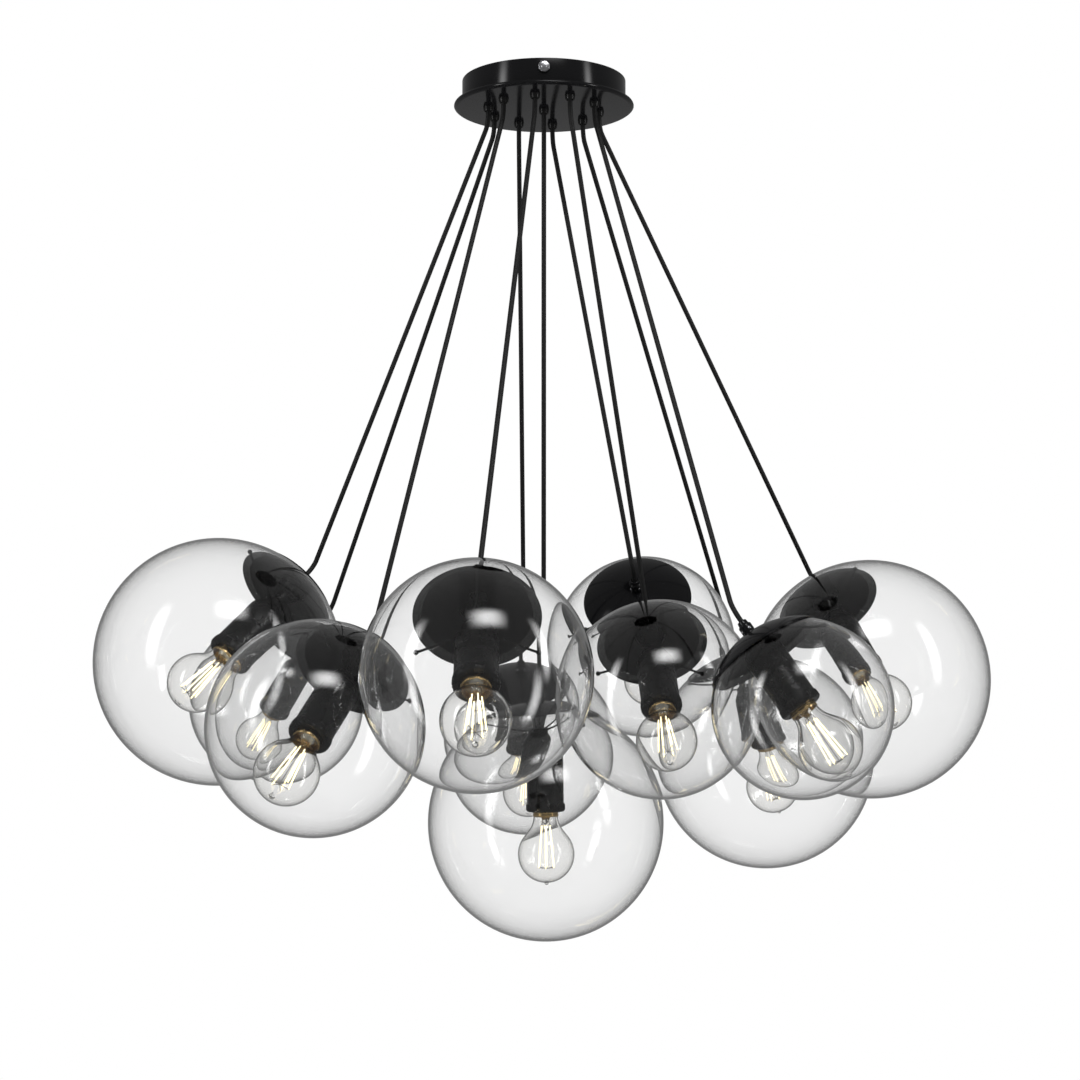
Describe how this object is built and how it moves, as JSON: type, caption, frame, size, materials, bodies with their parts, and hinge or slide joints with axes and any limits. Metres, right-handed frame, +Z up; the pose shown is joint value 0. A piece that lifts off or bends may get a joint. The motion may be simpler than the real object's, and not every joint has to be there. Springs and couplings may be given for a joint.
{
  "type": "cluster pendant light",
  "caption": "Cluster pendant: round ceiling canopy with fanned cords carrying clear glass globes, domed caps, lampholders and filament bulbs.",
  "frame": {"origin": "middle of the ceiling bracket, on the ceiling plane", "axes": "+Z up into the ceiling, -Y towards the viewer in the picture, +X to the viewer's right"},
  "size_m": [0.921, 0.91, 0.904],
  "materials": {
    "black_metal": "gloss black enamel",
    "zinc_steel": "zinc plated",
    "chrome": "polished",
    "black_plastic": "satin",
    "holder_black": "satin black",
    "clear_glass": "clear blown glass",
    "bulb_glass": "clear bulb glass",
    "cord_black": "matte"
  },
  "bodies": {
    "canopy": {"ceiling_bracket": "zinc_steel", "canopy_pan": "black_metal", "canopy_plate": "black_metal", "side_screws": "chrome", "cord_glands": "black_plastic"},
    "pendant_a": {"cord_a": "cord_black", "cap_a": "black_metal", "holder_a": "holder_black", "bulb_a": "bulb_glass", "globe_a": "clear_glass"},
    "pendant_b": {"cord_b": "cord_black", "cap_b": "black_metal", "holder_b": "holder_black", "bulb_b": "bulb_glass", "globe_b": "clear_glass"},
    "pendant_c": {"cord_c": "cord_black", "cap_c": "black_metal", "holder_c": "holder_black", "bulb_c": "bulb_glass", "globe_c": "clear_glass"},
    "pendant_d": {"cord_d": "cord_black", "cap_d": "black_metal", "holder_d": "holder_black", "bulb_d": "bulb_glass", "globe_d": "clear_glass"},
    "pendant_e": {"cord_e": "cord_black", "cap_e": "black_metal", "holder_e": "holder_black", "bulb_e": "bulb_glass", "globe_e": "clear_glass"},
    "pendant_f": {"cord_f": "cord_black", "cap_f": "black_metal", "holder_f": "holder_black", "bulb_f": "bulb_glass", "globe_f": "clear_glass"},
    "pendant_g": {"cord_g": "cord_black", "cap_g": "black_metal", "holder_g": "holder_black", "bulb_g": "bulb_glass", "globe_g": "clear_glass"},
    "pendant_h": {"cord_h": "cord_black", "cap_h": "black_metal", "holder_h": "holder_black", "bulb_h": "bulb_glass", "globe_h": "clear_glass"},
    "pendant_i": {"cord_i": "cord_black", "cap_i": "black_metal", "holder_i": "holder_black", "bulb_i": "bulb_glass", "globe_i": "clear_glass"},
    "pendant_j": {"cord_j": "cord_black", "cap_j": "black_metal", "holder_j": "holder_black", "bulb_j": "bulb_glass", "globe_j": "clear_glass"},
    "pendant_k": {"cord_k": "cord_black", "cap_k": "black_metal", "holder_k": "holder_black", "bulb_k": "bulb_glass", "globe_k": "clear_glass"}
  },
  "joints": [
    {"name": "pendant_a_swing", "type": "hinge", "parent": "canopy", "child": "pendant_a", "pos_m": [-0.05827, -0.00923, -0.035], "axis": [-0.1392, 0.9903, 0], "range_deg": [0, 10]},
    {"name": "pendant_b_swing", "type": "hinge", "parent": "canopy", "child": "pendant_b", "pos_m": [-0.05257, 0.02678, -0.035], "axis": [0.6018, 0.7986, 0], "range_deg": [0, 10]},
    {"name": "pendant_c_swing", "type": "hinge", "parent": "canopy", "child": "pendant_c", "pos_m": [-0.04172, -0.04172, -0.035], "axis": [-0.788, 0.6157, 0], "range_deg": [0, 10]},
    {"name": "pendant_d_swing", "type": "hinge", "parent": "canopy", "child": "pendant_d", "pos_m": [-0.00923, -0.05827, -0.035], "axis": [-0.9903, 0.1392, 0], "range_deg": [0, 10]},
    {"name": "pendant_e_swing", "type": "hinge", "parent": "canopy", "child": "pendant_e", "pos_m": [-0.02678, 0.05257, -0.035], "axis": [0.9848, 0.1736, 0], "range_deg": [0, 10]},
    {"name": "pendant_f_swing", "type": "hinge", "parent": "canopy", "child": "pendant_f", "pos_m": [0, 0, -0.035], "axis": [0.0523, 0.9986, 0], "range_deg": [0, 8]},
    {"name": "pendant_g_swing", "type": "hinge", "parent": "canopy", "child": "pendant_g", "pos_m": [0.00923, 0.05827, -0.035], "axis": [-0.6428, -0.766, 0], "range_deg": [0, 3]},
    {"name": "pendant_h_swing", "type": "hinge", "parent": "canopy", "child": "pendant_h", "pos_m": [0.02678, -0.05257, -0.035], "axis": [-0.9903, 0.1392, 0], "range_deg": [0, 1]},
    {"name": "pendant_i_swing", "type": "hinge", "parent": "canopy", "child": "pendant_i", "pos_m": [0.05257, -0.02678, -0.035], "axis": [-0.7193, -0.6947, 0], "range_deg": [0, 10]},
    {"name": "pendant_j_swing", "type": "hinge", "parent": "canopy", "child": "pendant_j", "pos_m": [0.04172, 0.04172, -0.035], "axis": [0.7431, -0.6691, 0], "range_deg": [0, 10]},
    {"name": "pendant_k_swing", "type": "hinge", "parent": "canopy", "child": "pendant_k", "pos_m": [0.05827, 0.00923, -0.035], "axis": [0.1219, -0.9925, 0], "range_deg": [0, 10]}
  ]
}
